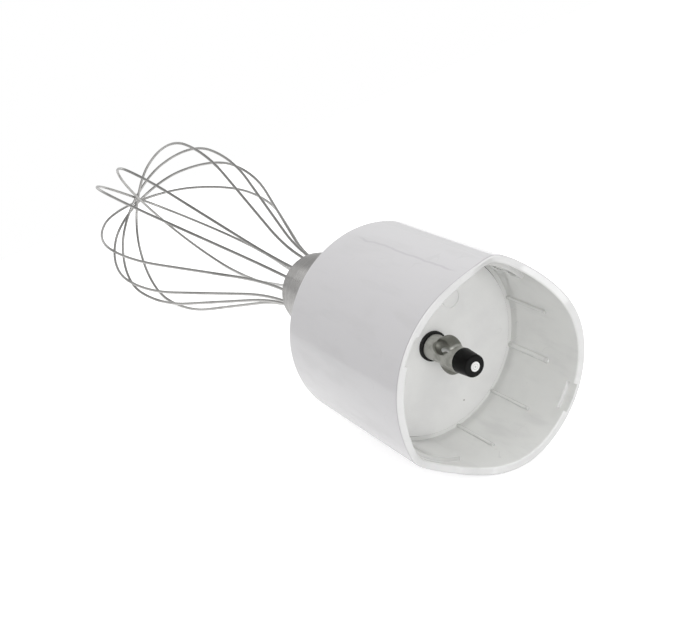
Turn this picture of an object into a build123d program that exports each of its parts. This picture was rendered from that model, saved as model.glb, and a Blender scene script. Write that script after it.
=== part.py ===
from build123d import *
from math import acos, atan, atan2, cos, degrees, pi, radians, sin, tan
import os

# A balloon whisk that clips to the motor body of a stick blender. All sizes are in millimetres.
# Every piece is drawn along its own turning axis, local +Z, with local +X up and the cup's
# rear face at height zero. The last section lays the whole whisk on its side.

# Collar: the moulded cup that takes the end of the motor body
COLLAR_REAR_RADIUS = 30.0
COLLAR_LENGTH = 58.4
COLLAR_TAPER = 0.0128
REAR_EDGE_ROUND = 1.0
RIM_WALL = 2.35
RIM_EDGE_ROUND = 0.45

# Wave of the rim: two dips, opposite each other
DIP_DEPTH = 10.2
DIP_TURN = -21.5
DIP_VALLEY_RADIUS = 13.0
DIP_CREST_RADIUS = 22.0
DIP_SLOPE = 33.5

# Ribs, latch pads and key notches inside the cup
RIB_COUNT = 12
RIB_FIRST_TURN = -69.0
RIB_LENGTH = 17.0
RIB_HEIGHT = 0.7
RIB_WIDTH = 1.0
KEY_RIB_TURN = -99.0
KEY_RIB_WIDTH = 1.7
LATCH_PAD_SPAN = 36.0
LATCH_PAD_HEIGHT = 1.2
LATCH_PAD_LENGTH = 12.5
LATCH_PAD_LOW = 5.0
LATCH_SLOT_SPAN = 8.0
LATCH_SLOT_TURN = -12.0
LATCH_SLOT_LENGTH = 4.0
LATCH_SLOT_PITCH = 6.5
WALL_BITE = 0.5
NOTCH_TURN = -113.0
NOTCH_SPAN = 16.0
NOTCH_DEPTH = 3.2
NOTCH_CUT = 1.1

# Floor of the cup: the lid of the gearbox
FLOOR_HEIGHT = 29.4
LEDGE_WIDTH = 1.5
LID_THICKNESS = 2.4
LID_GAP = 0.3
LEDGE_DROP = 0.6
MOULD_RING_RADIUS = 3.0
MOULD_RING_OFFSET = 14.3
MOULD_RING_TURN = -23.4
MOULD_RING_LINE = 0.35
MOULD_RING_DEPTH = 0.2

# Gearbox
CHAMBER_WALL = 5.35
SUN_TEETH = 12
PLANET_TEETH = 15
PLANET_COUNT = 3
PRESSURE_ANGLE = 20.0
TOOTH_ADDENDUM = 0.8
TOOTH_DEDENDUM = 1.25
BACKLASH = 0.16
RING_WALL = 2.4
REAR_WALL = 2.4
CARRIER_THICKNESS = 3.6
CARRIER_RIM = 4.5
COVER_THICKNESS = 1.1
COVER_GAP = 0.8
SUN_ROOM = 1.0
PIN_RADIUS = 1.5
WASHER_THICKNESS = 1.0
SIDE_PLAY = 0.4
RUNNING_CLEARANCE = 0.05

# Shafts, bushes and seals
OUTPUT_SHAFT_RADIUS = 3.0
OUTPUT_SHAFT_TAIL = 33.0
OUTPUT_BUSH_WALL = 2.0
BUSH_FLANGE = 2.0
BUSH_FLANGE_THICKNESS = 1.0
BOSS_WALL = 3.5
BOSS_TAIL = 7.0
BOSS_INSIDE = 6.5
OUTPUT_SEAL_WALL = 3.0
OUTPUT_SEAL_THICKNESS = 2.4
DRIVE_SHAFT_RADIUS = 2.0
INPUT_BUSH_WALL = 2.0
LID_BOSS_WALL = 2.5
LID_BOSS_LENGTH = 4.0
SHAFT_SEAL_RADIUS = 4.4
SHAFT_SEAL_THICKNESS = 1.8
SHAFT_SEAL_PROUD = 0.8

# Drive coupling and its nose, which meet the motor
COUPLING_RADIUS = 3.45
COUPLING_FOOT_RADIUS = 3.75
COUPLING_FOOT_LENGTH = 4.0
COUPLING_LENGTH = 13.4
COUPLING_GAP = 0.4
EAR_RISE = 3.5
EAR_HALF_LENGTH = 4.1
EAR_OFFSET = 1.9
EAR_THICKNESS = 4.8
EAR_PLACE = 7.4
EAR_STAGGER = 0.8
EAR_TURN = 8.0
EAR_ROUND = 1.7
SCOOP_OFFSET = 2.9
SCOOP_RISE = 2.2
SCOOP_HALF_LENGTH = 3.2
SCOOP_DEPTH = 2.2
NOSE_BASE_RADIUS = 3.65
NOSE_FRONT_RADIUS = 3.2
NOSE_LENGTH = 5.6
NOSE_ROUND = 0.6
SHAFT_END_RADIUS = 1.4
SHAFT_END_PROUD = 0.2

# Ferrule: the drawn steel cone that carries the wires
FERRULE_LENGTH = 37.0
FERRULE_GAP = 0.8
FERRULE_END_RADIUS = 11.8
FERRULE_TAPER = 0.272
FERRULE_SHEET = 0.7
FERRULE_LIP = 0.25
PLUG_RECESS = 2.0
PLUG_INSET = 0.4

# Balloon of six wire loops
WIRE_RADIUS = 0.5
WHISK_LENGTH = 147.45
BALLOON_RADIUS = 30.87
BALLOON_NOSE = 41.53
NOSE_RATIO = 0.803
WIRE_SEAT_RADIUS = 8.12
NECK_BEND_RADIUS = 104.6
FLANK_RATIO = 1.459
WIRE_SEAT_DEPTH = 12.0
POLE_PITCH = 1.2
# Each loop: its turn about the axis, its place in the crossing at the pole (0 is the innermost),
# how far it leans sideways and in its own plane in degrees, and how far it stands to one side of
# the axis as a share of the seat radius. Use has bent the loops a little out of true.
LOOPS = (
    (43.7, 0, 0.0, 0.0, -0.089),
    (-8.7, 1, 0.34, 0.0, 0.152),
    (-30.2, 2, 1.44, -0.1, -0.058),
    (-48.9, 4, 0.18, 0.24, -0.02),
    (-75.1, 5, -0.5, 0.62, 0.195),
    (-114.5, 3, 0.58, -1.3, 0.021),
)

# How it lies at rest, in degrees: rolled about its axis until two wires carry the balloon, with the
# axis falling a little from the collar towards them
REST_ROLL = -16.52
REST_FALL = 0.94

# Places that follow from the sizes above, all as heights along the turning axis
SOCKET_RADIUS = COLLAR_REAR_RADIUS + COLLAR_TAPER * COLLAR_LENGTH - RIM_WALL
LID_RADIUS = SOCKET_RADIUS - LEDGE_WIDTH
RING_TEETH = SUN_TEETH + 2 * PLANET_TEETH
RING_OUTER = COLLAR_REAR_RADIUS - CHAMBER_WALL
GEAR_MODULE = (RING_OUTER - RING_WALL) / (RING_TEETH / 2 + TOOTH_DEDENDUM)
SUN_PITCH = SUN_TEETH * GEAR_MODULE / 2
PLANET_PITCH = PLANET_TEETH * GEAR_MODULE / 2
RING_PITCH = RING_TEETH * GEAR_MODULE / 2
PIN_ORBIT = SUN_PITCH + PLANET_PITCH
CARRIER_RADIUS = PIN_ORBIT + CARRIER_RIM
BUSH_FLANGE_TOP = BOSS_INSIDE + BUSH_FLANGE_THICKNESS
CARRIER_LOW = BUSH_FLANGE_TOP + WASHER_THICKNESS + SIDE_PLAY / 2
CARRIER_TOP = CARRIER_LOW + CARRIER_THICKNESS
GEAR_LOW = CARRIER_TOP + SIDE_PLAY
LID_LOW = FLOOR_HEIGHT - LID_THICKNESS
COVER_TOP = LID_LOW - LID_BOSS_LENGTH - COVER_GAP
COVER_LOW = COVER_TOP - COVER_THICKNESS
GEAR_WIDTH = COVER_LOW - SIDE_PLAY - GEAR_LOW
OUTPUT_BUSH_RADIUS = OUTPUT_SHAFT_RADIUS + OUTPUT_BUSH_WALL
OUTPUT_SEAL_RADIUS = OUTPUT_SHAFT_RADIUS + OUTPUT_SEAL_WALL
BOSS_RADIUS = OUTPUT_BUSH_RADIUS + BOSS_WALL
INPUT_BUSH_RADIUS = DRIVE_SHAFT_RADIUS + INPUT_BUSH_WALL
SEAL_LOW = FLOOR_HEIGHT + SHAFT_SEAL_PROUD - SHAFT_SEAL_THICKNESS
COUPLING_LOW = FLOOR_HEIGHT + SHAFT_SEAL_PROUD + COUPLING_GAP
COUPLING_TOP = COUPLING_LOW + COUPLING_LENGTH
NOSE_TOP = COUPLING_TOP + NOSE_LENGTH
FERRULE_END = -FERRULE_GAP - FERRULE_LENGTH


def collar_radius(height):
    """Outer radius of the collar, which widens a little towards its mouth."""
    return COLLAR_REAR_RADIUS + COLLAR_TAPER * height


def ferrule_radius(height):
    """Outer radius of the steel cone at a height below the collar."""
    return FERRULE_END_RADIUS + FERRULE_TAPER * (height - FERRULE_END)


def tube(outer, inner, low, top):
    """A plain ring about the turning axis."""
    ring = Circle(outer) - Circle(inner)
    return extrude(Pos(0, 0, low) * ring, top - low)


def rod(radius, low, top):
    """A plain cylinder about the turning axis."""
    return extrude(Pos(0, 0, low) * Circle(radius), top - low)


def turned(*points):
    """A solid turned about the axis from (radius, height) corners."""
    outline = Polyline(*[(radius, 0, height) for radius, height in points], close=True)
    return revolve(make_face(outline), Axis.Z)


def sector_block(inner, outer, span, low, top, turn):
    """A curved block between two radii, span degrees wide, centred on a turn about the axis."""
    ring = tube(outer, inner, low, top)
    reach = 2 * outer
    half = radians(span / 2)
    wedge = Polyline((0, 0), (reach * cos(half), -reach * sin(half)), (reach * cos(half), reach * sin(half)),
                     close=True)
    mask = extrude(Pos(0, 0, low) * make_face(wedge), top - low)
    return Rot(0, 0, turn) * (ring & mask)


def rim_cutter():
    """What lies beyond the wavy rim: one S-shaped outline pushed straight through the cup."""
    slope = radians(DIP_SLOPE)
    fall = DIP_DEPTH - (DIP_VALLEY_RADIUS + DIP_CREST_RADIUS) * (1 - cos(slope))
    flank = fall / sin(slope)
    valley = JernArc((0, COLLAR_LENGTH - DIP_DEPTH), (1, 0), DIP_VALLEY_RADIUS, DIP_SLOPE)
    straight = Line(valley @ 1, (valley @ 1) + (valley % 1) * flank)
    crest = JernArc(straight @ 1, straight % 1, DIP_CREST_RADIUS, -DIP_SLOPE)
    reach = 2 * COLLAR_REAR_RADIUS
    start = valley @ 0
    rest = Polyline(crest @ 1, (reach, COLLAR_LENGTH), (reach, COLLAR_LENGTH + reach),
                    (0, COLLAR_LENGTH + reach), (start.X, start.Y))
    half = make_face([valley, straight, crest, rest])
    outline = half + mirror(half, about=Plane.YZ)
    turn = radians(DIP_TURN)
    across = Plane(origin=(0, 0, 0), x_dir=(-sin(turn), cos(turn), 0), z_dir=(cos(turn), sin(turn), 0))
    return extrude(across * outline, reach, both=True)


def socket_rib(width, low):
    """A half-round rib on the wall of the cup, with a rounded end."""
    place = Pos(SOCKET_RADIUS - RIB_HEIGHT + width / 2, 0, 0)
    top = low + RIB_LENGTH
    return place * (rod(width / 2, low, top) + Pos(0, 0, top) * Sphere(width / 2))


def latch_pad(low):
    """A raised pad with two pockets near its end, which the motor body's catches drop into."""
    pad = sector_block(SOCKET_RADIUS - LATCH_PAD_HEIGHT, SOCKET_RADIUS + WALL_BITE, LATCH_PAD_SPAN, low,
                       low + LATCH_PAD_LENGTH, DIP_TURN)
    for step in (-0.5, 0.5):
        middle = low + LATCH_PAD_LENGTH / 2 + step * LATCH_SLOT_PITCH
        pad -= sector_block(SOCKET_RADIUS - 2 * LATCH_PAD_HEIGHT, SOCKET_RADIUS, LATCH_SLOT_SPAN,
                            middle - LATCH_SLOT_LENGTH / 2, middle + LATCH_SLOT_LENGTH / 2,
                            DIP_TURN + LATCH_SLOT_TURN)
    return pad


def collar_housing():
    top = COLLAR_LENGTH
    body = turned((0, 0), (COLLAR_REAR_RADIUS, 0), (collar_radius(top), top), (0, top))
    body = fillet(body.edges().group_by(Axis.Z)[0], REAR_EDGE_ROUND)
    body += rod(BOSS_RADIUS, -BOSS_TAIL, 0)
    body -= rod(SOCKET_RADIUS, FLOOR_HEIGHT - LEDGE_DROP, top)
    body -= rod(LID_RADIUS + LID_GAP, LID_LOW, FLOOR_HEIGHT)
    body -= rod(RING_OUTER, REAR_WALL, LID_LOW)
    body += rod(BOSS_RADIUS, REAR_WALL, BOSS_INSIDE)
    body -= rod(OUTPUT_BUSH_RADIUS, -BOSS_TAIL, BOSS_INSIDE)
    body -= rod(OUTPUT_SEAL_RADIUS, -BOSS_TAIL, -BOSS_TAIL + OUTPUT_SEAL_THICKNESS)
    body -= rim_cutter()
    body = body.solid()
    rim = body.edges().filter_by_position(Axis.Z, COLLAR_LENGTH - 2 * DIP_DEPTH, COLLAR_LENGTH + DIP_DEPTH)
    body = fillet(rim, RIM_EDGE_ROUND)
    ribs_low = FLOOR_HEIGHT - LEDGE_DROP
    for index in range(RIB_COUNT):
        turn = RIB_FIRST_TURN - index * 360 / RIB_COUNT
        if abs(cos(radians(turn - DIP_TURN))) > cos(radians(LATCH_PAD_SPAN / 2)):
            continue
        width = KEY_RIB_WIDTH if abs(turn - KEY_RIB_TURN) < 1 else RIB_WIDTH
        body += Rot(0, 0, turn) * socket_rib(width, ribs_low)
    for side in (0, 180):
        body += Rot(0, 0, side) * latch_pad(ribs_low + LATCH_PAD_LOW)
        body -= sector_block(SOCKET_RADIUS - WALL_BITE, SOCKET_RADIUS + NOTCH_CUT, NOTCH_SPAN,
                             COLLAR_LENGTH - NOTCH_DEPTH, COLLAR_LENGTH + NOTCH_DEPTH, NOTCH_TURN + side)
    return body


def gearbox_lid():
    """The plate that closes the gearbox and makes the floor of the cup."""
    lid = rod(LID_RADIUS, LID_LOW, FLOOR_HEIGHT)
    lid += rod(INPUT_BUSH_RADIUS + LID_BOSS_WALL, LID_LOW - LID_BOSS_LENGTH, LID_LOW)
    lid -= rod(INPUT_BUSH_RADIUS, LID_LOW - LID_BOSS_LENGTH, FLOOR_HEIGHT)
    lid -= rod(SHAFT_SEAL_RADIUS, SEAL_LOW, FLOOR_HEIGHT)
    mark = tube(MOULD_RING_RADIUS, MOULD_RING_RADIUS - MOULD_RING_LINE, FLOOR_HEIGHT - MOULD_RING_DEPTH,
                FLOOR_HEIGHT)
    turn = radians(MOULD_RING_TURN)
    lid -= Pos(MOULD_RING_OFFSET * cos(turn), MOULD_RING_OFFSET * sin(turn), 0) * mark
    return lid


def flank_angle(radius, base):
    """How far an involute has turned from its start when it reaches a radius."""
    if radius <= base:
        return 0.0
    reach = acos(base / radius)
    return tan(reach) - reach


def tooth_ring(teeth, low, high, thinner):
    """Outline of a toothed wheel between two radii, with three chords on each involute flank."""
    pitch = teeth * GEAR_MODULE / 2
    base = pitch * cos(radians(PRESSURE_ANGLE))
    half = (pi * GEAR_MODULE / 2 - thinner) / (2 * pitch) + flank_angle(pitch, base)
    start = max(low, base)
    radii = [start + (high - start) * step / 3 for step in range(4)]
    if low < base:
        radii.insert(0, low)
    points = []
    for tooth in range(teeth):
        centre = 2 * pi * tooth / teeth
        rising = [(radius, centre - half + flank_angle(radius, base)) for radius in radii]
        falling = [(radius, 2 * centre - angle) for radius, angle in reversed(rising)]
        points += [(radius * cos(angle), radius * sin(angle)) for radius, angle in rising + falling]
    return make_face(Polyline(*points, close=True))


def spur_gear(teeth, bore):
    pitch = teeth * GEAR_MODULE / 2
    outline = tooth_ring(teeth, pitch - TOOTH_DEDENDUM * GEAR_MODULE, pitch + TOOTH_ADDENDUM * GEAR_MODULE,
                         BACKLASH / 2)
    return extrude(Pos(0, 0, GEAR_LOW) * (outline - Circle(bore)), GEAR_WIDTH)


def ring_gear():
    """The fixed inner-toothed ring. Its tooth spaces have the form of a wheel's teeth."""
    spaces = tooth_ring(RING_TEETH, RING_PITCH - TOOTH_ADDENDUM * GEAR_MODULE,
                        RING_PITCH + TOOTH_DEDENDUM * GEAR_MODULE, -BACKLASH / 2)
    return extrude(Pos(0, 0, GEAR_LOW) * (Circle(RING_OUTER) - spaces), GEAR_WIDTH)


def planet_place(index):
    return Rot(0, 0, index * 360 / PLANET_COUNT) * Pos(PIN_ORBIT, 0, 0)


def planet_gear(index):
    """A planet stands with a tooth outwards and, having an odd count, a space towards the sun."""
    return planet_place(index) * spur_gear(PLANET_TEETH, PIN_RADIUS + RUNNING_CLEARANCE)


def planet_pin(index):
    return planet_place(index) * rod(PIN_RADIUS, CARRIER_LOW, COVER_TOP)


def planet_carrier():
    plate = tube(CARRIER_RADIUS, OUTPUT_SHAFT_RADIUS, CARRIER_LOW, CARRIER_TOP)
    for index in range(PLANET_COUNT):
        plate -= planet_pin(index)
    return plate


def carrier_cover():
    """The thin plate that keeps the planets on their pins and leaves room for the sun."""
    hole = SUN_PITCH + TOOTH_ADDENDUM * GEAR_MODULE + SUN_ROOM
    plate = tube(CARRIER_RADIUS, hole, COVER_LOW, COVER_TOP)
    for index in range(PLANET_COUNT):
        plate -= planet_pin(index)
    return plate


def output_bush():
    bush = rod(OUTPUT_BUSH_RADIUS, -BOSS_TAIL + OUTPUT_SEAL_THICKNESS, BOSS_INSIDE)
    bush += rod(OUTPUT_BUSH_RADIUS + BUSH_FLANGE, BOSS_INSIDE, BUSH_FLANGE_TOP)
    return bush - rod(OUTPUT_SHAFT_RADIUS + RUNNING_CLEARANCE, -BOSS_TAIL, BUSH_FLANGE_TOP)


def drive_shaft():
    shaft = rod(DRIVE_SHAFT_RADIUS, GEAR_LOW, COUPLING_TOP)
    return shaft + rod(SHAFT_END_RADIUS, COUPLING_TOP, NOSE_TOP + SHAFT_END_PROUD)


def coupling_ear(height):
    """A rounded ear standing up from the barrel, and the scoop in the face that pushes."""
    outline = Pos(EAR_OFFSET, height) * Ellipse(EAR_RISE, EAR_HALF_LENGTH)
    ear = extrude(Plane.XZ * outline, EAR_THICKNESS / 2, both=True)
    ear = fillet(ear.edges(), EAR_ROUND)
    scoop = scale(Sphere(1), by=(SCOOP_RISE, SCOOP_DEPTH, SCOOP_HALF_LENGTH))
    return ear, Pos(SCOOP_OFFSET, EAR_THICKNESS / 2, height) * scoop


def drive_coupling():
    foot_top = COUPLING_LOW + COUPLING_FOOT_LENGTH
    barrel = turned((0, COUPLING_LOW), (COUPLING_FOOT_RADIUS, COUPLING_LOW), (COUPLING_RADIUS, foot_top),
                    (COUPLING_RADIUS, COUPLING_TOP), (0, COUPLING_TOP))
    for side, height in ((0, COUPLING_LOW + EAR_PLACE), (180, COUPLING_LOW + EAR_PLACE + EAR_STAGGER)):
        ear, scoop = coupling_ear(height)
        barrel += Rot(0, 0, EAR_TURN + side) * ear
        barrel -= Rot(0, 0, EAR_TURN + side) * scoop
    return barrel - rod(DRIVE_SHAFT_RADIUS, COUPLING_LOW, COUPLING_TOP)


def coupling_tip():
    nose = turned((0, COUPLING_TOP), (NOSE_BASE_RADIUS, COUPLING_TOP), (NOSE_FRONT_RADIUS, NOSE_TOP),
                  (0, NOSE_TOP))
    nose = fillet(nose.edges().group_by(Axis.Z)[-1], NOSE_ROUND)
    return nose - rod(SHAFT_END_RADIUS, COUPLING_TOP, NOSE_TOP)


def whisk_ferrule():
    """A cone drawn from sheet, with its small end turned in over the plug."""
    top = -FERRULE_GAP
    lip = FERRULE_END_RADIUS - FERRULE_SHEET - FERRULE_LIP
    return turned((lip, FERRULE_END), (FERRULE_END_RADIUS, FERRULE_END), (ferrule_radius(top), top),
                  (ferrule_radius(top) - FERRULE_SHEET, top),
                  (ferrule_radius(FERRULE_END + PLUG_INSET) - FERRULE_SHEET, FERRULE_END + PLUG_INSET),
                  (lip, FERRULE_END + PLUG_INSET))


def whisk_half():
    """The angle of a loop's straight flank, the radius of the bend after it and the flank's length."""
    belly = WHISK_LENGTH - BALLOON_NOSE
    flank = FLANK_RATIO * atan2(BALLOON_RADIUS - WIRE_SEAT_RADIUS, belly)
    neck_end = NECK_BEND_RADIUS * sin(flank)
    neck_radius = WIRE_SEAT_RADIUS + NECK_BEND_RADIUS * (1 - cos(flank))
    spare = tan(flank) * (belly - neck_end) - (BALLOON_RADIUS - neck_radius)
    belly_bend = spare / (tan(flank) * sin(flank) - 1 + cos(flank))
    run = (belly - neck_end - belly_bend * sin(flank)) / cos(flank)
    return degrees(flank), belly_bend, run


def loop_path(place):
    """One loop in the local XZ plane, with the crossing at the pole stacked by its place."""
    flank, belly_bend, run = whisk_half()
    nose = BALLOON_NOSE + (place - (len(LOOPS) - 1) / 2) * POLE_PITCH
    tight = NOSE_RATIO * BALLOON_RADIUS
    turn = 2 * atan((BALLOON_RADIUS - tight) / (nose - tight))
    wide = tight + (nose - tight) / sin(turn)
    straight = Line((WIRE_SEAT_RADIUS, FERRULE_END + WIRE_SEAT_DEPTH), (WIRE_SEAT_RADIUS, FERRULE_END))
    neck = JernArc(straight @ 1, straight % 1, NECK_BEND_RADIUS, flank)
    side = Line(neck @ 1, (neck @ 1) + (neck % 1) * run)
    belly = JernArc(side @ 1, side % 1, belly_bend, -flank)
    shoulder = JernArc(belly @ 1, belly % 1, wide, -degrees(turn))
    cap = JernArc(shoulder @ 1, shoulder % 1, tight, degrees(turn) - 90)
    half = [straight, neck, side, belly, shoulder, cap]
    path = half + [mirror(edge, about=Plane.YZ) for edge in half]
    return Plane.XZ * Wire([edge for curve in path for edge in curve.edges()])


def loop_place(turn, lean_side, lean_in, shift):
    """Stands a loop in its place: leant at the neck, set to one side, then turned about the axis."""
    seat = Pos(0, shift * WIRE_SEAT_RADIUS, FERRULE_END) * Rot(lean_side, -lean_in, 0)
    return Rot(0, 0, turn) * seat * Pos(0, 0, -FERRULE_END)


def whisk_wire(index):
    turn, place, lean_side, lean_in, shift = LOOPS[index]
    path = loop_path(place)
    start = Plane(origin=path @ 0, z_dir=path % 0)
    return loop_place(turn, lean_side, lean_in, shift) * sweep(start * Circle(WIRE_RADIUS), path)


def wire_seats(index):
    """The two holes in the plug that a loop's straight ends sit in."""
    turn, place, lean_side, lean_in, shift = LOOPS[index]
    hole = rod(WIRE_RADIUS, FERRULE_END - PLUG_INSET, FERRULE_END + WIRE_SEAT_DEPTH)
    seats = [Pos(side * WIRE_SEAT_RADIUS, 0, 0) * hole for side in (1, -1)]
    return loop_place(turn, lean_side, lean_in, shift) * Compound(seats)


def wire_plug():
    """The moulded core that fills the ferrule and holds the wire ends and the output shaft."""
    low = FERRULE_END + PLUG_INSET
    top = -BOSS_TAIL - PLUG_RECESS
    plug = turned((0, low), (ferrule_radius(low) - FERRULE_SHEET, low),
                  (ferrule_radius(top) - FERRULE_SHEET, top), (0, top))
    plug -= rod(OUTPUT_SHAFT_RADIUS, -OUTPUT_SHAFT_TAIL, top)
    for index in range(len(LOOPS)):
        plug -= wire_seats(index)
    return plug


def resting_place(pieces):
    """Lays the whisk on its side along +X, centred over its length, with its lowest line at zero."""
    lying = Plane(origin=(0, 0, 0), x_dir=(0, 0, 1), z_dir=(1, 0, 0)).location
    lying = Rot(0, -REST_FALL, 0) * lying * Rot(0, 0, REST_ROLL)
    boxes = [(lying * solid).bounding_box() for solid in pieces.values()]
    middle = (max(box.max.X for box in boxes) + min(box.min.X for box in boxes)) / 2
    lowest = min(box.min.Z for box in boxes)
    return Pos(-middle, 0, -lowest) * lying


def all_pieces():
    pieces = {
        "collar_housing": collar_housing(),
        "gearbox_lid": gearbox_lid(),
        "ring_gear": ring_gear(),
        "output_bush": output_bush(),
        "output_seal": tube(OUTPUT_SEAL_RADIUS, OUTPUT_SHAFT_RADIUS + RUNNING_CLEARANCE, -BOSS_TAIL,
                            -BOSS_TAIL + OUTPUT_SEAL_THICKNESS),
        "input_bush": tube(INPUT_BUSH_RADIUS, DRIVE_SHAFT_RADIUS + RUNNING_CLEARANCE,
                           LID_LOW - LID_BOSS_LENGTH, SEAL_LOW),
        "shaft_seal": tube(SHAFT_SEAL_RADIUS, DRIVE_SHAFT_RADIUS + RUNNING_CLEARANCE, SEAL_LOW,
                           FLOOR_HEIGHT + SHAFT_SEAL_PROUD),
        "thrust_washer": tube(OUTPUT_BUSH_RADIUS + BUSH_FLANGE, OUTPUT_SHAFT_RADIUS + RUNNING_CLEARANCE,
                              BUSH_FLANGE_TOP, BUSH_FLANGE_TOP + WASHER_THICKNESS),
        "planet_carrier": planet_carrier(),
        "carrier_cover": carrier_cover(),
        "output_shaft": rod(OUTPUT_SHAFT_RADIUS, -OUTPUT_SHAFT_TAIL, CARRIER_TOP),
        "sun_pinion": spur_gear(SUN_TEETH, DRIVE_SHAFT_RADIUS),
        "drive_shaft": drive_shaft(),
        "drive_coupling": drive_coupling(),
        "coupling_tip": coupling_tip(),
        "whisk_ferrule": whisk_ferrule(),
        "wire_plug": wire_plug(),
    }
    for index in range(PLANET_COUNT):
        pieces[f"planet_gear_{index + 1}"] = planet_gear(index)
        pieces[f"planet_pin_{index + 1}"] = planet_pin(index)
    for index in range(len(LOOPS)):
        pieces[f"whisk_wire_{index + 1}"] = whisk_wire(index)
    return pieces


os.makedirs("parts", exist_ok=True)
pieces = all_pieces()
rest = resting_place(pieces)
for name, solid in pieces.items():
    export_step(rest * solid, f"parts/{name}.step")
print("axis at the collar's rear face: x", round(rest.position.X, 3), "z", round(rest.position.Z, 3))
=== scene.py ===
from math import atan2, radians

import bmesh
import bpy
from mathutils import Euler, Matrix, Vector


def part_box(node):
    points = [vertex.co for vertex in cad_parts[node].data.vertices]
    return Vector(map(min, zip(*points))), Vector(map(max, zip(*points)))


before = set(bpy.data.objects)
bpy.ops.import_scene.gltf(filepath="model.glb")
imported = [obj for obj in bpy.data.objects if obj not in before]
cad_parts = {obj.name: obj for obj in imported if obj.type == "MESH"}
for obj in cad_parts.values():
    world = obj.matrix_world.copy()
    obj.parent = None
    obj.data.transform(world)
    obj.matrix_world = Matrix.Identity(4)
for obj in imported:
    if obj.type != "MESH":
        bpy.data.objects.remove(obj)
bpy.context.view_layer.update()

# White collar and gearbox lid
# The cup that clips to the motor body, and the round plate that closes the gearbox under it. Both
# are injection moulded in glossy white plastic, which shows fine texture, flow streaks and scuffs.
COLLAR_WHITE = (0.765, 0.755, 0.77, 1)
CUP_WHITE = (0.885, 0.89, 0.87, 1)
LID_WHITE = (0.85, 0.85, 0.84, 1)
SCUFF_GREY = (0.66, 0.655, 0.66, 1)

# The turning axis of the whisk runs through the middles of its two seals. Every piece is round
# about it, so the patterns in the finishes are measured from it.
rear_seal, floor_seal = [sum(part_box(seal), Vector()) / 2 for seal in ("output_seal", "shaft_seal")]
AXIS = (floor_seal - rear_seal).normalized()
AXIS_RISE = atan2(AXIS.z, AXIS.x)


def new_finish(name):
    """A material with its Principled shader, ready for nodes."""
    finish = bpy.data.materials.new(name)
    finish.use_nodes = True
    return finish, finish.node_tree, finish.node_tree.nodes["Principled BSDF"]


def dress(finish, *names):
    """Gives CAD pieces their finish."""
    for name in names:
        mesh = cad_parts[name].data
        mesh.materials.clear()
        mesh.materials.append(finish)


def value_node(tree, operation, first, second):
    """A Math node whose two inputs are sockets or numbers."""
    node = tree.nodes.new("ShaderNodeMath")
    node.operation = operation
    for socket, given in zip(node.inputs, (first, second)):
        if isinstance(given, (int, float)):
            socket.default_value = given
        else:
            tree.links.new(given, socket)
    return node.outputs[0]


def blend_colours(tree, amount, first, second):
    """Mixes two colours, each a socket or a value, by an amount."""
    node = tree.nodes.new("ShaderNodeMix")
    node.data_type = "RGBA"
    tree.links.new(amount, node.inputs["Factor"])
    for socket, given in ((node.inputs["A"], first), (node.inputs["B"], second)):
        if isinstance(given, bpy.types.NodeSocket):
            tree.links.new(given, socket)
        else:
            socket.default_value = given
    return node.outputs["Result"]


def group_with(name, inputs, outputs):
    """A shader node group with named sockets, given as name: (kind, start value)."""
    group = bpy.data.node_groups.new(name, "ShaderNodeTree")
    for label, (kind, start) in inputs.items():
        socket = group.interface.new_socket(label, in_out="INPUT", socket_type=kind)
        if start is not None:
            socket.default_value = start
    for label, kind in outputs.items():
        group.interface.new_socket(label, in_out="OUTPUT", socket_type=kind)
    return group, group.nodes.new("NodeGroupInput"), group.nodes.new("NodeGroupOutput")


def place_group(tree, group, **values):
    """Puts a group into a material and sets its inputs by name."""
    node = tree.nodes.new("ShaderNodeGroup")
    node.node_tree = group
    for label, given in values.items():
        socket = node.inputs[label.replace("_", " ")]
        if isinstance(given, bpy.types.NodeSocket):
            tree.links.new(given, socket)
        else:
            socket.default_value = given
    return node


def noise(tree, vector, scale, detail=3.0, roughness=0.55):
    """A noise pattern, 0 to 1, with its size set in repeats per metre."""
    node = tree.nodes.new("ShaderNodeTexNoise")
    node.inputs["Scale"].default_value = scale
    node.inputs["Detail"].default_value = detail
    node.inputs["Roughness"].default_value = roughness
    tree.links.new(vector, node.inputs["Vector"])
    return node.outputs["Fac"]


def stretched(tree, vector, scale):
    """Coordinates about the turning axis, stretched by a scale along x, y and z."""
    node = tree.nodes.new("ShaderNodeMapping")
    node.vector_type = "TEXTURE"
    node.inputs["Location"].default_value = rear_seal
    node.inputs["Rotation"].default_value = (0, -AXIS_RISE, 0)
    node.inputs["Scale"].default_value = [1 / factor for factor in scale]
    tree.links.new(vector, node.inputs["Vector"])
    return node.outputs["Vector"]


def ramp(tree, factor, start, end):
    """Spreads a stretch of a pattern over 0 to 1."""
    node = tree.nodes.new("ShaderNodeMapRange")
    node.interpolation_type = "SMOOTHSTEP"
    node.inputs["From Min"].default_value = start
    node.inputs["From Max"].default_value = end
    tree.links.new(factor, node.inputs["Value"])
    return node.outputs["Result"]


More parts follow.
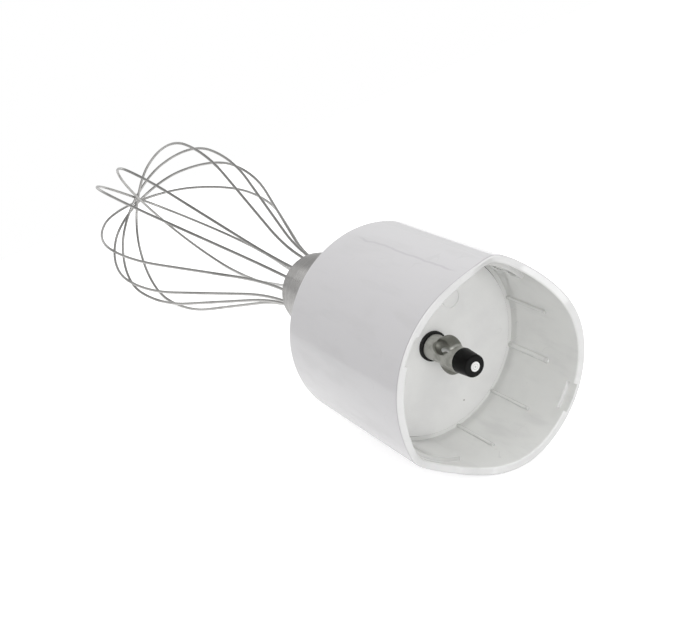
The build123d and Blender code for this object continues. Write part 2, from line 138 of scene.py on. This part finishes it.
# Moulded plastic: faint flow streaks along the mould's draw, cloudy scuffs, hairline scratches and
# a fine orange peel. The scratches are thin level lines of one pattern, broken up by another.
# Each pattern's size is given in repeats per metre.
STREAKS_PER_METRE = 190
CLOUDS_PER_METRE = 34
HAIRS_PER_METRE = 75
BREAKS_PER_METRE = 110
PEEL_PER_METRE = 900
PEEL_DEPTH = 0.0001
WORN_ROUGHER = 0.3
moulded, given, put = group_with(
    "moulded plastic",
    {"Colour": ("NodeSocketColor", COLLAR_WHITE), "Scuff Colour": ("NodeSocketColor", SCUFF_GREY),
     "Streaks": ("NodeSocketFloat", 0.3), "Scuffs": ("NodeSocketFloat", 0.3),
     "Gloss": ("NodeSocketFloat", 0.3), "Peel": ("NodeSocketFloat", 0.1)},
    {"Colour": "NodeSocketColor", "Roughness": "NodeSocketFloat", "Normal": "NodeSocketVector"})
place = moulded.nodes.new("ShaderNodeTexCoord").outputs["Object"]
drawn_out = stretched(moulded, place, (0.25, 1, 1))
streak = ramp(moulded, noise(moulded, drawn_out, STREAKS_PER_METRE, 4), 0.48, 0.72)
cloud = ramp(moulded, noise(moulded, place, CLOUDS_PER_METRE, 5, 0.6), 0.5, 0.74)
across_draw = stretched(moulded, place, (1, 0.5, 1))
hair = value_node(moulded, "SUBTRACT", noise(moulded, across_draw, HAIRS_PER_METRE, 2), 0.5)
hair = ramp(moulded, value_node(moulded, "ABSOLUTE", hair, 0), 0.006, 0.001)
broken = ramp(moulded, noise(moulded, place, BREAKS_PER_METRE, 3), 0.56, 0.6)
scratch = value_node(moulded, "MULTIPLY", hair, broken)
marks = value_node(moulded, "MULTIPLY", streak, given.outputs["Streaks"])
scuffs = value_node(moulded, "MAXIMUM", cloud, scratch)
scuffs = value_node(moulded, "MULTIPLY", scuffs, given.outputs["Scuffs"])
worn = value_node(moulded, "MAXIMUM", marks, scuffs)
shade = blend_colours(moulded, worn, given.outputs["Colour"], given.outputs["Scuff Colour"])
moulded.links.new(shade, put.inputs["Colour"])
duller = value_node(moulded, "MULTIPLY", worn, WORN_ROUGHER)
duller = value_node(moulded, "ADD", given.outputs["Gloss"], duller)
moulded.links.new(duller, put.inputs["Roughness"])
peel = moulded.nodes.new("ShaderNodeBump")
peel.inputs["Distance"].default_value = PEEL_DEPTH
moulded.links.new(given.outputs["Peel"], peel.inputs["Strength"])
moulded.links.new(noise(moulded, place, PEEL_PER_METRE, 3), peel.inputs["Height"])
moulded.links.new(peel.outputs["Normal"], put.inputs["Normal"])


def radius_from_axis(tree):
    """Distance of the surface from the turning axis, and its places along and across it."""
    place = tree.nodes.new("ShaderNodeTexCoord").outputs["Object"]
    split = tree.nodes.new("ShaderNodeSeparateXYZ")
    tree.links.new(stretched(tree, place, (1, 1, 1)), split.inputs[0])
    squares = [value_node(tree, "MULTIPLY", side, side)
               for side in (split.outputs["Y"], split.outputs["Z"])]
    radius = value_node(tree, "SQRT", value_node(tree, "ADD", *squares), 0)
    return radius, split.outputs["X"], split.outputs["Y"]


def connect_effect(finish_tree, effect, shader):
    """Feeds what an effect puts out into the shader."""
    finish_tree.links.new(effect.outputs["Colour"], shader.inputs["Base Color"])
    for label in ("Roughness", "Normal"):
        finish_tree.links.new(effect.outputs[label], shader.inputs[label])


def wear_moulded(finish_tree, shader, colour, **amounts):
    """Runs a colour through the moulded plastic effect into the shader."""
    effect = place_group(finish_tree, moulded, Colour=colour, **amounts)
    connect_effect(finish_tree, effect, shader)


def band(tree, factor, low, high, edge):
    """1 where a pattern lies between two values, fading out over an edge, and 0 elsewhere."""
    rising = ramp(tree, factor, low - edge, low)
    return value_node(tree, "MULTIPLY", rising, ramp(tree, factor, high + edge, high))


# Painted shade darkens the seam round the lid. A weld line, where the plastic met itself in the
# mould, runs along the top of the collar. Painted shade also darkens the faces turned towards the
# mouth, the fronts of the latch pads, the ends of the ribs and the outer rounding of the rim.
WALL_TAPER = 0.0128
WALL_SKIN = 0.0288
SKIN_EDGE = 0.0004
SEAM_RADIUS = (0.0268, 0.0273)
SEAM_PLACE = (0.0327, 0.0345)
WELD_LINE = (-0.00215, -0.00185)
WELD_FADE = 0.0004
WELD_ENDS = (0.017, 0.055)
WELD_END_FADE = 0.006
WELD_WANDER = 0.003
WOBBLES_PER_METRE = 90
MARK_FADE = 0.0001
PAD_FRONT = (0.0520, 0.0522)
PAD_RADIUS = (0.0271, 0.0282)
RIB_FRONT = (0.0508, 0.0518)
RIB_RADIUS = (0.0276, 0.0282)
MOUTH_FACING = (0.5, 0.85)
SOCKET_DEEP = (0.036, 0.038)
CORNER_FACING = (0.14, 0.5)
CORNER_FADE = 0.1
SEAM_SHADE_GREY = (0.22, 0.22, 0.21, 1)
PAD_FRONT_SHADE_GREY = (0.62, 0.62, 0.605, 1)
RIB_END_SHADE_GREY = (0.8, 0.8, 0.785, 1)
MOUTH_FACE_SHADE = (0.79, 0.79, 0.785, 1)
CORNER_SHADE_GREY = (0.56, 0.54, 0.56, 1)
WELD_GREY = (0.665, 0.65, 0.675, 1)

collar_finish, tree, shader = new_finish("collar white")
radius, along, across = radius_from_axis(tree)
untapered = value_node(tree, "SUBTRACT", radius, value_node(tree, "MULTIPLY", along, WALL_TAPER))
outside = ramp(tree, untapered, WALL_SKIN, WALL_SKIN + SKIN_EDGE)
colour = blend_colours(tree, outside, CUP_WHITE, COLLAR_WHITE)
place = tree.nodes["Texture Coordinate"].outputs["Object"]
wobble = noise(tree, stretched(tree, place, (1, 0.1, 0.1)), WOBBLES_PER_METRE, 2)
wander = value_node(tree, "MULTIPLY", value_node(tree, "SUBTRACT", wobble, 0.5), WELD_WANDER)
line = band(tree, value_node(tree, "ADD", across, wander), *WELD_LINE, WELD_FADE)
line = value_node(tree, "MULTIPLY", line, band(tree, along, *WELD_ENDS, WELD_END_FADE))
colour = blend_colours(tree, value_node(tree, "MULTIPLY", line, outside), colour, WELD_GREY)
facing = tree.nodes.new("ShaderNodeVectorMath")
facing.operation = "DOT_PRODUCT"
facing.inputs[1].default_value = AXIS
tree.links.new(tree.nodes.new("ShaderNodeNewGeometry").outputs["Normal"], facing.inputs[0])
facing = facing.outputs["Value"]
# Painted shade: faces turned towards the mouth, past the socket depth, are darkened.
mouth_face_shade = ramp(tree, facing, *MOUTH_FACING)
mouth_face_shade = value_node(tree, "MULTIPLY", mouth_face_shade, ramp(tree, along, *SOCKET_DEEP))
colour = blend_colours(tree, mouth_face_shade, colour, MOUTH_FACE_SHADE)
# Painted shade: a dark line on the outer rounding of the rim, picked by its normal.
corner_shade = value_node(tree, "MULTIPLY", band(tree, facing, *CORNER_FACING, CORNER_FADE), outside)
colour = blend_colours(tree, corner_shade, colour, CORNER_SHADE_GREY)
# Painted shade on the fronts of the latch pads, the ends of the ribs and the seam round the lid.
for front, depth, grey in ((PAD_FRONT, PAD_RADIUS, PAD_FRONT_SHADE_GREY), (RIB_FRONT, RIB_RADIUS, RIB_END_SHADE_GREY),
                           (SEAM_PLACE, SEAM_RADIUS, SEAM_SHADE_GREY)):
    painted_shade = band(tree, along, *front, MARK_FADE)
    painted_shade = value_node(tree, "MULTIPLY", painted_shade, band(tree, radius, *depth, MARK_FADE))
    colour = blend_colours(tree, painted_shade, colour, grey)
wear_moulded(tree, shader, colour, Streaks=0.3, Scuffs=0.3, Gloss=0.32, Peel=0.12)
shader.inputs["Coat Weight"].default_value = 0.9
shader.inputs["Coat Roughness"].default_value = 0.05
dress(collar_finish, "collar_housing")

# The lid has picked up a speck and some cloudy dirt, and its edge is painted dark as shade in the
# seam.
LID_EDGE = (0.02685, 0.02689)
SPECK_PLACE = (0.0352, 0.00585, -0.02113)
SPECK_REACH = (0.00034, 0.00014)
SPECK_BROWN = (0.36, 0.34, 0.32, 1)
lid_finish, tree, shader = new_finish("lid white")
radius = radius_from_axis(tree)[0]
edge = ramp(tree, radius, *LID_EDGE)
reach = tree.nodes.new("ShaderNodeVectorMath")
reach.operation = "DISTANCE"
reach.inputs[1].default_value = SPECK_PLACE
tree.links.new(tree.nodes["Mapping"].outputs["Vector"], reach.inputs[0])
speck = ramp(tree, reach.outputs["Value"], *SPECK_REACH)
colour = blend_colours(tree, edge, LID_WHITE, SEAM_SHADE_GREY)
wear_moulded(tree, shader, blend_colours(tree, speck, colour, SPECK_BROWN),
             Streaks=0.08, Scuffs=0.35, Gloss=0.42, Peel=0.2)
dress(lid_finish, "gearbox_lid")

# Gear train and bearings, closed inside the collar
# The ring, sun and planets are moulded in natural acetal, the carrier in black filled nylon. The
# two bushes are oiled bronze, and the pins, the cover plate and the output shaft are ground steel.
GEAR_CREAM = (0.80, 0.78, 0.70, 1)
GEAR_SCUFF = (0.6, 0.57, 0.48, 1)
CARRIER_BLACK = (0.03, 0.03, 0.032, 1)
CARRIER_SCUFF = (0.08, 0.08, 0.08, 1)
BUSH_BRONZE = (0.5, 0.33, 0.16, 1)
BUSH_TARNISH = (0.2, 0.13, 0.07, 1)
PIN_STEEL = (0.6, 0.6, 0.61, 1)
PIN_TARNISH = (0.35, 0.34, 0.33, 1)
gear_finish, tree, shader = new_finish("gear acetal")
wear_moulded(tree, shader, GEAR_CREAM, Scuff_Colour=GEAR_SCUFF,
             Streaks=0.1, Scuffs=0.3, Gloss=0.35, Peel=0.1)
dress(gear_finish, "ring_gear", "sun_pinion", "planet_gear_1", "planet_gear_2", "planet_gear_3")

carrier_finish, tree, shader = new_finish("carrier nylon")
wear_moulded(tree, shader, CARRIER_BLACK, Scuff_Colour=CARRIER_SCUFF,
             Streaks=0.3, Scuffs=0.3, Gloss=0.5, Peel=0.4)
dress(carrier_finish, "planet_carrier", "thrust_washer")

# Worked metal: fine grooves left by the tool, turned round the axis or drawn along it, and
# tarnish. The grain of each metal says how far its grooves are stretched along x, y and z.
GROOVES_PER_METRE = 1000
GROOVE_DEPTH = 0.00005
TARNISH_ROUGHER = 0.4
TURNED = (4, 0.05, 0.05)
DRAWN = (0.05, 3, 3)
CAST = (1, 1, 1)
worked, given, put = group_with(
    "worked metal",
    {"Vector": ("NodeSocketVector", None), "Colour": ("NodeSocketColor", (0.5, 0.5, 0.5, 1)),
     "Tarnish Colour": ("NodeSocketColor", (0.2, 0.2, 0.2, 1)), "Tarnish": ("NodeSocketFloat", 0.3),
     "Tarnish Scale": ("NodeSocketFloat", 120.0), "Grooves": ("NodeSocketFloat", 0.3),
     "Gloss": ("NodeSocketFloat", 0.3)},
    {"Colour": "NodeSocketColor", "Roughness": "NodeSocketFloat", "Normal": "NodeSocketVector"})
place = worked.nodes.new("ShaderNodeTexCoord").outputs["Object"]
blotch = worked.nodes.new("ShaderNodeTexNoise")
blotch.inputs["Detail"].default_value = 5
worked.links.new(place, blotch.inputs["Vector"])
worked.links.new(given.outputs["Tarnish Scale"], blotch.inputs["Scale"])
tarnish = ramp(worked, blotch.outputs["Fac"], 0.42, 0.7)
tarnish = value_node(worked, "MULTIPLY", tarnish, given.outputs["Tarnish"])
groove = noise(worked, given.outputs["Vector"], GROOVES_PER_METRE, 2)
lines = value_node(worked, "SUBTRACT", groove, 0.5)
lines = value_node(worked, "MULTIPLY", lines, given.outputs["Grooves"])
shade = blend_colours(worked, value_node(worked, "ADD", tarnish, lines),
                      given.outputs["Colour"], given.outputs["Tarnish Colour"])
worked.links.new(shade, put.inputs["Colour"])
rough = value_node(worked, "MULTIPLY", tarnish, TARNISH_ROUGHER)
rough = value_node(worked, "ADD", given.outputs["Gloss"], rough)
worked.links.new(value_node(worked, "ADD", rough, lines), put.inputs["Roughness"])
cut = worked.nodes.new("ShaderNodeBump")
cut.inputs["Distance"].default_value = GROOVE_DEPTH
worked.links.new(given.outputs["Grooves"], cut.inputs["Strength"])
worked.links.new(groove, cut.inputs["Height"])
worked.links.new(cut.outputs["Normal"], put.inputs["Normal"])


def metal_finish(name, colour, tarnish_colour, grain, metallic=1.0, **amounts):
    """A metal whose grooves follow the grain."""
    finish, tree, shader = new_finish(name)
    place = tree.nodes.new("ShaderNodeTexCoord").outputs["Object"]
    effect = place_group(tree, worked, Vector=stretched(tree, place, grain), Colour=colour,
                         Tarnish_Colour=tarnish_colour, **amounts)
    connect_effect(tree, effect, shader)
    shader.inputs["Metallic"].default_value = metallic
    return finish


bronze_finish = metal_finish("bush bronze", BUSH_BRONZE, BUSH_TARNISH, TURNED,
                             Tarnish=0.4, Grooves=0.3, Gloss=0.35)
dress(bronze_finish, "output_bush", "input_bush")
steel_finish = metal_finish("ground steel", PIN_STEEL, PIN_TARNISH, TURNED,
                            Tarnish=0.2, Grooves=0.25, Gloss=0.22)
dress(steel_finish, "planet_pin_1", "planet_pin_2", "planet_pin_3", "carrier_cover", "output_shaft")

# Shaft seals
# Lip seals of black nitrile rubber, one where the drive shaft comes through the floor of the cup
# and one pressed round the output shaft, inside the ferrule. The rubber is dull and a little dusty.
SEAL_BLACK = (0.012, 0.012, 0.012, 1)
SEAL_DUST = (0.05, 0.05, 0.05, 1)
rubber_finish, tree, shader = new_finish("seal rubber")
wear_moulded(tree, shader, SEAL_BLACK, Scuff_Colour=SEAL_DUST,
             Streaks=0.1, Scuffs=0.4, Gloss=0.55, Peel=0.5)
shader.inputs["Specular IOR Level"].default_value = 0.25
dress(rubber_finish, "shaft_seal", "output_seal")

# Drive shaft and coupling
# The coupling is a zinc casting with two scooped ears, tumbled to a dull grey, with painted shade in
# its hollows and at the outer edges of its ears. The shaft through it ends in a bright face in the
# middle of the black nose.
COUPLING_GREY = (0.5, 0.5, 0.47, 1)
COUPLING_TARNISH = (0.22, 0.22, 0.19, 1)
SCOOP_MIDDLES = ((0.0428, -0.00195, 0.0032), (0.0436, 0.00195, -0.0032))
SCOOP_SIZE = (0.0032, 0.0022, 0.0022)
SCOOP_EDGE = (1.12, 0.98)
HOLLOW_SHADE_GREY = (0.24, 0.24, 0.215, 1)
EAR_REACH = (0.0037, 0.0042)
EAR_EDGE_SHADE_GREY = (0.23, 0.23, 0.205, 1)
SHAFT_RING = (0.00075, 0.00082)
SHAFT_DOT = (0.00032, 0.00022)
SHAFT_FADE = 0.00006
SHAFT_STEEL = (0.83, 0.83, 0.82, 1)
SHAFT_SCUFF = (0.6, 0.6, 0.58, 1)
TURNED_GREY = (0.3, 0.3, 0.3, 1)
TURNED_SHARE = 0.6
coupling_finish = metal_finish("coupling cast metal", COUPLING_GREY, COUPLING_TARNISH, CAST,
                               metallic=0.8, Tarnish=0.4, Tarnish_Scale=420.0, Grooves=0.3,
                               Gloss=0.42)
tree = coupling_finish.node_tree
shader = tree.nodes["Principled BSDF"]
colour = shader.inputs["Base Color"].links[0].from_socket
# Painted shade in the two scoops of the ears.
for middle in SCOOP_MIDDLES:
    inside = stretched(tree, tree.nodes["Texture Coordinate"].outputs["Object"], (1, 1, 1))
    for operation, amount in (("SUBTRACT", middle), ("DIVIDE", SCOOP_SIZE)):
        step = tree.nodes.new("ShaderNodeVectorMath")
        step.operation = operation
        step.inputs[1].default_value = amount
        tree.links.new(inside, step.inputs[0])
        inside = step.outputs["Vector"]
    depth = tree.nodes.new("ShaderNodeVectorMath")
    depth.operation = "LENGTH"
    tree.links.new(inside, depth.inputs[0])
    hollow_shade = ramp(tree, depth.outputs["Value"], *SCOOP_EDGE)
    colour = blend_colours(tree, hollow_shade, colour, HOLLOW_SHADE_GREY)
# Painted shade on the outer edges of the ears, far from the axis.
radius = radius_from_axis(tree)[0]
colour = blend_colours(tree, ramp(tree, radius, *EAR_REACH), colour, EAR_EDGE_SHADE_GREY)
tree.links.new(colour, shader.inputs["Base Color"])
dress(coupling_finish, "drive_coupling")

shaft_finish, tree, shader = new_finish("shaft bright end")
radius = radius_from_axis(tree)[0]
rings = value_node(tree, "MAXIMUM", band(tree, radius, *SHAFT_RING, SHAFT_FADE),
                   ramp(tree, radius, *SHAFT_DOT))
colour = blend_colours(tree, value_node(tree, "MULTIPLY", rings, TURNED_SHARE),
                       SHAFT_STEEL, TURNED_GREY)
wear_moulded(tree, shader, colour, Scuff_Colour=SHAFT_SCUFF,
             Streaks=0.1, Scuffs=0.3, Gloss=0.35, Peel=0.1)
shader.inputs["Metallic"].default_value = 0.3
dress(shaft_finish, "drive_shaft")

# Coupling nose
# A tapered cap of black nylon, pressed on the coupling's front end. It guides the coupling into
# the motor.
NOSE_BLACK = (0.004, 0.004, 0.004, 1)
NOSE_SCUFF = (0.02, 0.02, 0.02, 1)
nose_finish, tree, shader = new_finish("nose nylon")
wear_moulded(tree, shader, NOSE_BLACK, Scuff_Colour=NOSE_SCUFF,
             Streaks=0.2, Scuffs=0.3, Gloss=0.38, Peel=0.3)
shader.inputs["Specular IOR Level"].default_value = 0.12
dress(nose_finish, "coupling_tip")

# Ferrule
# A cone drawn from stainless sheet and brushed round its axis on a lathe, so that the grooves
# run round it and the highlight is stretched across them.
FERRULE_STEEL = (0.335, 0.327, 0.318, 1)
FERRULE_TARNISH = (0.165, 0.158, 0.152, 1)
ferrule_finish = metal_finish("ferrule brushed steel", FERRULE_STEEL, FERRULE_TARNISH, TURNED,
                              Tarnish=0.2, Tarnish_Scale=60.0, Grooves=0.45, Gloss=0.29)
dress(ferrule_finish, "whisk_ferrule")

# Wire plug
# The core moulded in grey nylon that fills the ferrule's small end. It grips the ends of the
# wires and is pressed on the output shaft.
PLUG_GREY = (0.1, 0.1, 0.1, 1)
PLUG_SCUFF = (0.2, 0.2, 0.2, 1)
plug_finish, tree, shader = new_finish("plug nylon")
wear_moulded(tree, shader, PLUG_GREY, Scuff_Colour=PLUG_SCUFF,
             Streaks=0.2, Scuffs=0.3, Gloss=0.5, Peel=0.3)
dress(plug_finish, "wire_plug")

# Whisk wires
# Six loops of hard-drawn stainless wire, one millimetre thick and polished by tumbling. They are
# bent to shape and their ends are held in the plug.
WIRE_COUNT = 6
WIRE_STEEL = (0.49, 0.484, 0.472, 1)
WIRE_TARNISH = (0.21, 0.205, 0.198, 1)
wire_finish = metal_finish("wire stainless", WIRE_STEEL, WIRE_TARNISH, DRAWN,
                           Tarnish=0.5, Tarnish_Scale=60.0, Grooves=0.2, Gloss=0.22)
dress(wire_finish, *(f"whisk_wire_{loop + 1}" for loop in range(WIRE_COUNT)))

# Studio
# A plain white table under broad soft boxes, with the camera where the photograph was taken from.
# The table ends a little way in front of the whisk, and its edge shows in the collar's gloss.
FLOOR_SIZE = 0.8
FLOOR_MIDDLE = (0.2, 0.24, 0)
FLOOR_WHITE = (0.86, 0.86, 0.86, 1)
FLOOR_GLOW = 0.6
FLOOR_MIRRORED = 0.39
SKY_LOW = 0.32
SKY_HIGH = 0.6
SHOWN_LOW = 0.69
SHOWN_HIGH = 0.32
SHOWN_RISE = (0.15, 0.8)
TOP_BOX = ((-0.1, 0.55, 1.0), 1.0, 2.6)
MOUTH_BOX = ((1.1, -0.15, 0.36), 0.6, 3.55)
FAR_BOX = ((-1.1, -0.03, 0.17), 0.25, 0.17)

floor_mesh = bpy.data.meshes.new("floor")
sheet = bmesh.new()
bmesh.ops.create_grid(sheet, x_segments=1, y_segments=1, size=FLOOR_SIZE / 2,
                          matrix=Matrix.Translation(FLOOR_MIDDLE))
sheet.to_mesh(floor_mesh)
sheet.free()
floor = bpy.data.objects.new("floor", floor_mesh)
bpy.context.scene.collection.objects.link(floor)
floor_finish, tree, shader = new_finish("floor white")
shader.inputs["Base Color"].default_value = FLOOR_WHITE
shader.inputs["Roughness"].default_value = 0.9
shader.inputs["Specular IOR Level"].default_value = 0.1
seen = tree.nodes.new("ShaderNodeLightPath")
straight = value_node(tree, "MULTIPLY", seen.outputs["Is Camera Ray"], FLOOR_GLOW)
bent = value_node(tree, "ADD", seen.outputs["Is Glossy Ray"], seen.outputs["Is Transmission Ray"])
mirrored = value_node(tree, "MULTIPLY", bent, FLOOR_MIRRORED)
shader.inputs["Emission Color"].default_value = (1, 1, 1, 1)
tree.links.new(value_node(tree, "ADD", straight, mirrored), shader.inputs["Emission Strength"])
floor_mesh.materials.append(floor_finish)

# The room past the table is white to the eye and dimmer in reflections, as the glossy collar and
# the steel show it, and most of its light comes from high up.
world = bpy.data.worlds.new("studio")
world.use_nodes = True
bpy.context.scene.world = world
tree = world.node_tree
background = tree.nodes["Background"]
background.inputs["Color"].default_value = (1, 1, 1, 1)
seen = tree.nodes.new("ShaderNodeLightPath")
heading = tree.nodes.new("ShaderNodeSeparateXYZ")
tree.links.new(tree.nodes.new("ShaderNodeTexCoord").outputs["Generated"], heading.inputs[0])
high = value_node(tree, "MAXIMUM", heading.outputs["Z"], 0)
high = value_node(tree, "MULTIPLY", high, SKY_HIGH)
light = value_node(tree, "ADD", high, SKY_LOW)
mirrored = tree.nodes.new("ShaderNodeMix")
bent = value_node(tree, "ADD", seen.outputs["Is Glossy Ray"], seen.outputs["Is Transmission Ray"])
tree.links.new(bent, mirrored.inputs["Factor"])
tree.links.new(light, mirrored.inputs["A"])
rise = ramp(tree, heading.outputs["Z"], *SHOWN_RISE)
rise = value_node(tree, "MULTIPLY", rise, SHOWN_HIGH - SHOWN_LOW)
tree.links.new(value_node(tree, "ADD", rise, SHOWN_LOW), mirrored.inputs["B"])
straight = tree.nodes.new("ShaderNodeMix")
tree.links.new(seen.outputs["Is Camera Ray"], straight.inputs["Factor"])
tree.links.new(mirrored.outputs["Result"], straight.inputs["A"])
straight.inputs["B"].default_value = 1
tree.links.new(straight.outputs["Result"], background.inputs["Strength"])


def soft_box(name, place, size, power):
    """A square lamp at a place, turned towards the object."""
    lamp = bpy.data.lights.new(name, "AREA")
    lamp.size = size
    lamp.energy = power
    holder = bpy.data.objects.new(name, lamp)
    holder.location = place
    holder.visible_camera = False
    holder.rotation_euler = (rear_seal - Vector(place)).to_track_quat("-Z", "Y").to_euler()
    bpy.context.scene.collection.objects.link(holder)


soft_box("top box", *TOP_BOX)
soft_box("mouth box", *MOUTH_BOX)
soft_box("far box", *FAR_BOX)

# The camera's place was worked out with the wave of the rim a little to one side of the top, so
# it turns about the axis with the way that the whisk lies.
REAR_SEAL_DEPTH = 0.0058
LYING_ROLL = -16.52
CAMERA_OFFSET = (0.311353, -0.196920, 0.116274)
CAMERA_AZIMUTH = 59.39
CAMERA_ELEVATION = 17.365
FILM_WIDTH = 36
NEAR_CLIP = 0.01
PHOTO_WIDTH = 680
FOCAL_PIXELS = 1289.05
lens = bpy.data.cameras.new("camera")
lens.sensor_width = FILM_WIDTH
lens.lens = FILM_WIDTH * FOCAL_PIXELS / PHOTO_WIDTH
lens.clip_start = NEAR_CLIP
camera = bpy.data.objects.new("camera", lens)
collar_rear = rear_seal + AXIS * REAR_SEAL_DEPTH
lying = Matrix.Rotation(-AXIS_RISE, 4, "Y") @ Matrix.Rotation(radians(LYING_ROLL), 4, "X")
aim = Euler((radians(90 - CAMERA_ELEVATION), 0, radians(CAMERA_AZIMUTH))).to_matrix().to_4x4()
stand = Matrix.Translation(collar_rear) @ lying @ Matrix.Translation(CAMERA_OFFSET)
camera.matrix_world = stand @ aim
bpy.context.scene.collection.objects.link(camera)
bpy.context.scene.camera = camera
bpy.context.scene.view_settings.view_transform = "Standard"
